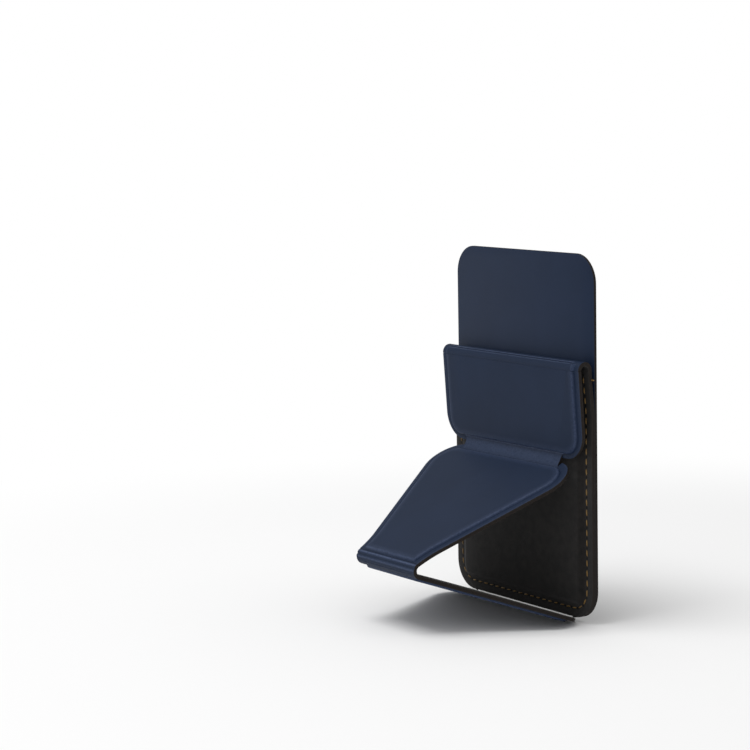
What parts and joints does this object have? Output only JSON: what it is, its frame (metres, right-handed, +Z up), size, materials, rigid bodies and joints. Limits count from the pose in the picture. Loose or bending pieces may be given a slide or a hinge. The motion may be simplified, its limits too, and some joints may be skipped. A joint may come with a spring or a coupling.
{
  "type": "stick-on card pocket with a folding stand",
  "caption": "Flat stick-on card pocket whose leather cover folds over the front and opens into a triangular stand.",
  "frame": {"origin": "centre of the adhesive's back face", "axes": "+Z up along the pocket, +Y out of the adhesive towards what it sticks to, cover in front towards -Y"},
  "size_m": [0.0644, 0.049, 0.1018],
  "materials": {
    "navy_leather": "satin",
    "grey_suede": "napped",
    "black_core": "matt",
    "grey_board": "matt",
    "adhesive": "tacky",
    "steel_strip": "plain",
    "magnet_nickel": "plated"
  },
  "bodies": {
    "root": {"adhesive_sheet": "adhesive", "back_core": "black_core", "keeper_strip": "steel_strip", "back_face": "navy_leather", "pocket_skin": "navy_leather", "pocket_lining": "grey_suede", "mouth_fold_skin": "navy_leather", "mouth_fold_lining": "grey_suede"},
    "flap": {"flap_skin": "navy_leather", "flap_board": "grey_board", "flap_lining": "grey_suede", "top_fold_skin": "navy_leather", "top_fold_lining": "grey_suede"},
    "upper_leaf": {"upper_leaf_skin": "navy_leather", "upper_leaf_board": "grey_board", "upper_leaf_lining": "grey_suede", "waist_fold_skin": "navy_leather", "waist_fold_lining": "grey_suede"},
    "lower_leaf": {"lower_leaf_skin": "navy_leather", "lower_leaf_board": "grey_board", "lower_leaf_lining": "grey_suede", "closing_magnet": "magnet_nickel"}
  },
  "joints": [
    {"name": "mouth_fold", "type": "hinge", "parent": "root", "child": "flap", "pos_m": [0, -0.00438, 0.02199], "axis": [-1, 0, 0], "range_deg": [0, 183.75], "deforming": ["mouth_fold_skin", "mouth_fold_lining"]},
    {"name": "top_fold", "type": "hinge", "parent": "flap", "child": "upper_leaf", "pos_m": [0, -0.00279, -0.00746], "axis": [1, 0, 0], "range_deg": [0, 244.2], "deforming": ["top_fold_skin", "top_fold_lining"]},
    {"name": "waist_fold", "type": "hinge", "parent": "upper_leaf", "child": "lower_leaf", "pos_m": [0, -0.04892, -0.03368], "axis": [-1, 0, 0], "range_deg": [0, 131], "deforming": ["waist_fold_skin", "waist_fold_lining"]}
  ],
  "couplings": [
    {"joint": "top_fold", "follows": "mouth_fold", "ratio": 1.3287},
    {"joint": "waist_fold", "follows": "mouth_fold", "ratio": 0.71238}
  ]
}
